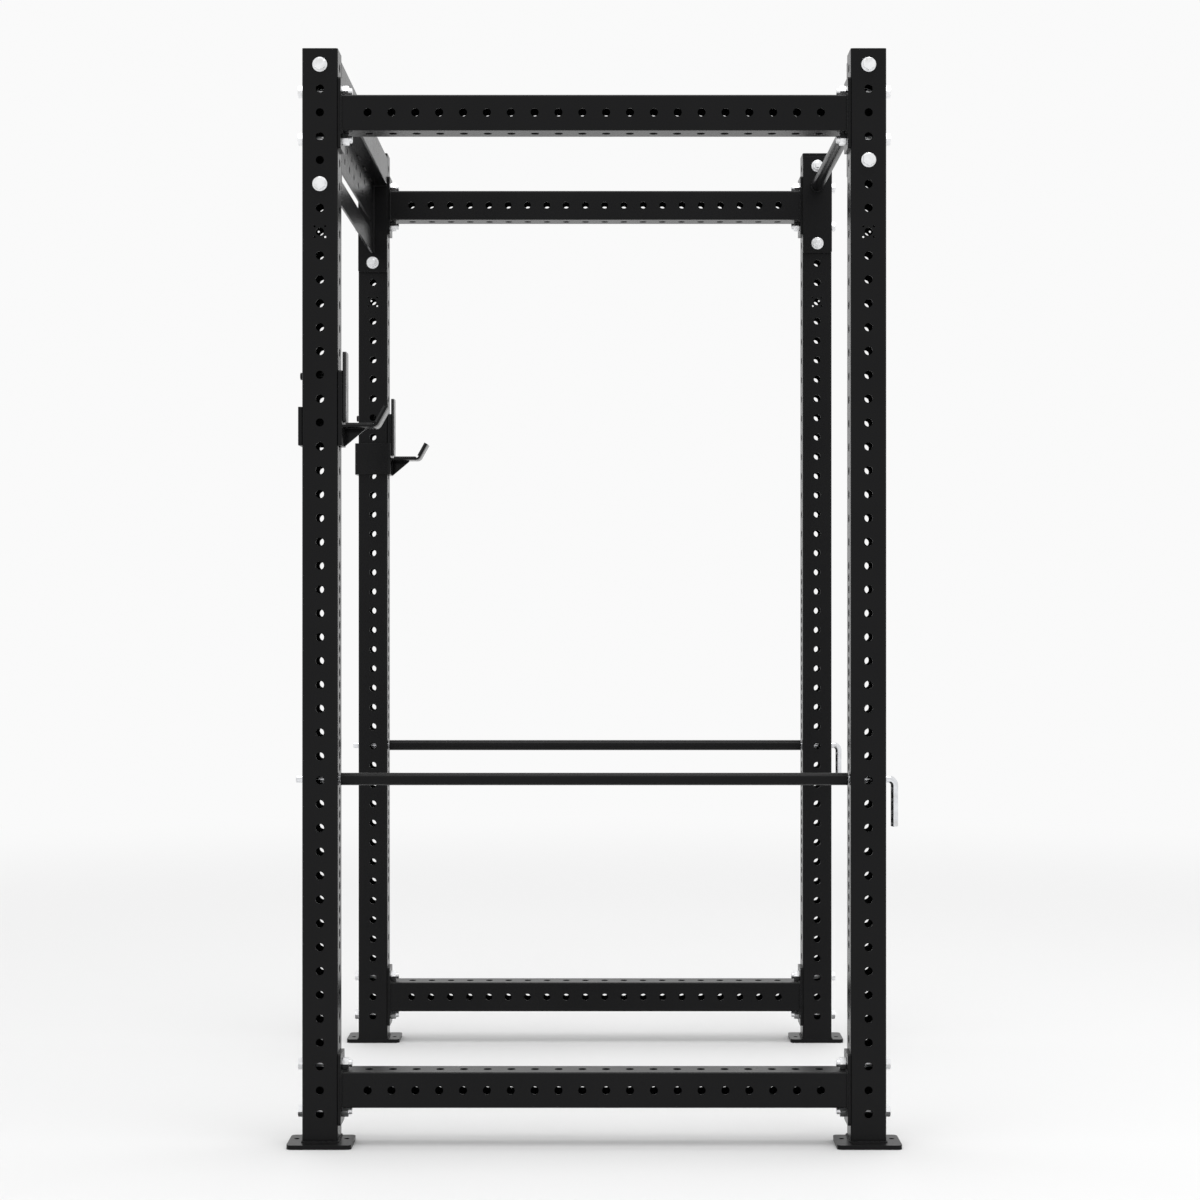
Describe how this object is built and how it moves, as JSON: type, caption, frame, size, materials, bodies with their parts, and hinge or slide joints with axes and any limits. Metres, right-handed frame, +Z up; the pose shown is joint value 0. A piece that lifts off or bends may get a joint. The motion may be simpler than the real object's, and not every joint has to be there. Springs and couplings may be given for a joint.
{
  "type": "power cage",
  "caption": "Free-standing lifting cage of drilled square uprights with side crossmembers, pull-up bar, pin-and-pipe safeties and swing-out J-cups.",
  "frame": {"origin": "on the floor, at the middle of the footprint of the four foot plates", "axes": "+X from the panelled front to the pull-up bar at the rear, +Y from the left to the right, +Z up"},
  "size_m": [1.3066, 1.2954, 2.34],
  "materials": {
    "frame_black": "satin black powder coat with a fine texture",
    "jcup_black": "satin black powder coat",
    "bar_black": "satin black powder coat",
    "pipe_black": "satin black powder coat",
    "zinc_hardware": "bright zinc plate",
    "zinc_rod": "bright zinc plate, drawn lengthwise",
    "screw_steel": "zinc-plated socket screw",
    "liner_plastic": "black polyethylene, cut edges",
    "cap_plastic": "moulded black plastic"
  },
  "bodies": {
    "frame": {"front_left_upright": "frame_black", "front_right_upright": "frame_black", "rear_left_upright": "frame_black", "rear_right_upright": "frame_black", "front_left_foot": "frame_black", "front_right_foot": "frame_black", "rear_left_foot": "frame_black", "rear_right_foot": "frame_black", "front_left_cap": "cap_plastic", "front_right_cap": "cap_plastic", "rear_left_cap": "cap_plastic", "rear_right_cap": "cap_plastic", "top_left_crossmember": "frame_black", "top_right_crossmember": "frame_black", "bottom_left_crossmember": "frame_black", "bottom_right_crossmember": "frame_black", "top_left_flanges": "frame_black", "top_right_flanges": "frame_black", "bottom_left_flanges": "frame_black", "bottom_right_flanges": "frame_black", "left_side_bolts": "zinc_hardware", "left_side_washers": "zinc_hardware", "left_side_nuts": "zinc_hardware", "right_side_bolts": "zinc_hardware", "right_side_washers": "zinc_hardware", "right_side_nuts": "zinc_hardware", "front_beam": "frame_black", "front_panel": "frame_black", "front_flanges": "frame_black", "front_bolts": "zinc_hardware", "front_washers": "zinc_hardware", "front_nuts": "zinc_hardware", "pull_up_bar": "bar_black", "pull_up_flanges": "frame_black", "pull_up_bolts": "zinc_hardware", "pull_up_washers": "zinc_hardware", "pull_up_nuts": "zinc_hardware"},
    "left_safety_pipe": {"left_safety_pipe": "pipe_black"},
    "left_safety_pin": {"left_safety_pin": "zinc_rod"},
    "right_safety_pipe": {"right_safety_pipe": "pipe_black"},
    "right_safety_pin": {"right_safety_pin": "zinc_rod"},
    "left_jcup": {"left_jcup_bracket": "jcup_black", "left_jcup_hook": "jcup_black", "left_jcup_gusset": "jcup_black", "left_jcup_pin": "jcup_black", "left_jcup_face_liner": "liner_plastic", "left_jcup_shelf_liner": "liner_plastic", "left_jcup_lip_liner": "liner_plastic", "left_jcup_screws": "screw_steel"},
    "right_jcup": {"right_jcup_bracket": "jcup_black", "right_jcup_hook": "jcup_black", "right_jcup_gusset": "jcup_black", "right_jcup_pin": "jcup_black", "right_jcup_face_liner": "liner_plastic", "right_jcup_shelf_liner": "liner_plastic", "right_jcup_lip_liner": "liner_plastic", "right_jcup_screws": "screw_steel"}
  },
  "joints": [
    {"name": "left_pipe_turn", "type": "hinge", "parent": "frame", "child": "left_safety_pipe", "pos_m": [0, -0.5842, 0.78105], "axis": [1, 0, 0], "continuous": true},
    {"name": "left_pin_pull", "type": "slide", "parent": "left_safety_pipe", "child": "left_safety_pin", "axis": [1, 0, 0], "range_m": [0, 1.27]},
    {"name": "right_pipe_turn", "type": "hinge", "parent": "frame", "child": "right_safety_pipe", "pos_m": [0, 0.5842, 0.78105], "axis": [1, 0, 0], "continuous": true},
    {"name": "right_pin_pull", "type": "slide", "parent": "right_safety_pipe", "child": "right_safety_pin", "axis": [1, 0, 0], "range_m": [0, 1.27]},
    {"name": "left_jcup_swing", "type": "hinge", "parent": "frame", "child": "left_jcup", "pos_m": [-0.5842, -0.5842, 1.64465], "axis": [1, 0, 0], "range_deg": [0, 90]},
    {"name": "right_jcup_swing", "type": "hinge", "parent": "frame", "child": "right_jcup", "pos_m": [-0.5842, 0.5842, 1.64465], "axis": [-1, 0, 0], "range_deg": [0, 90]}
  ]
}
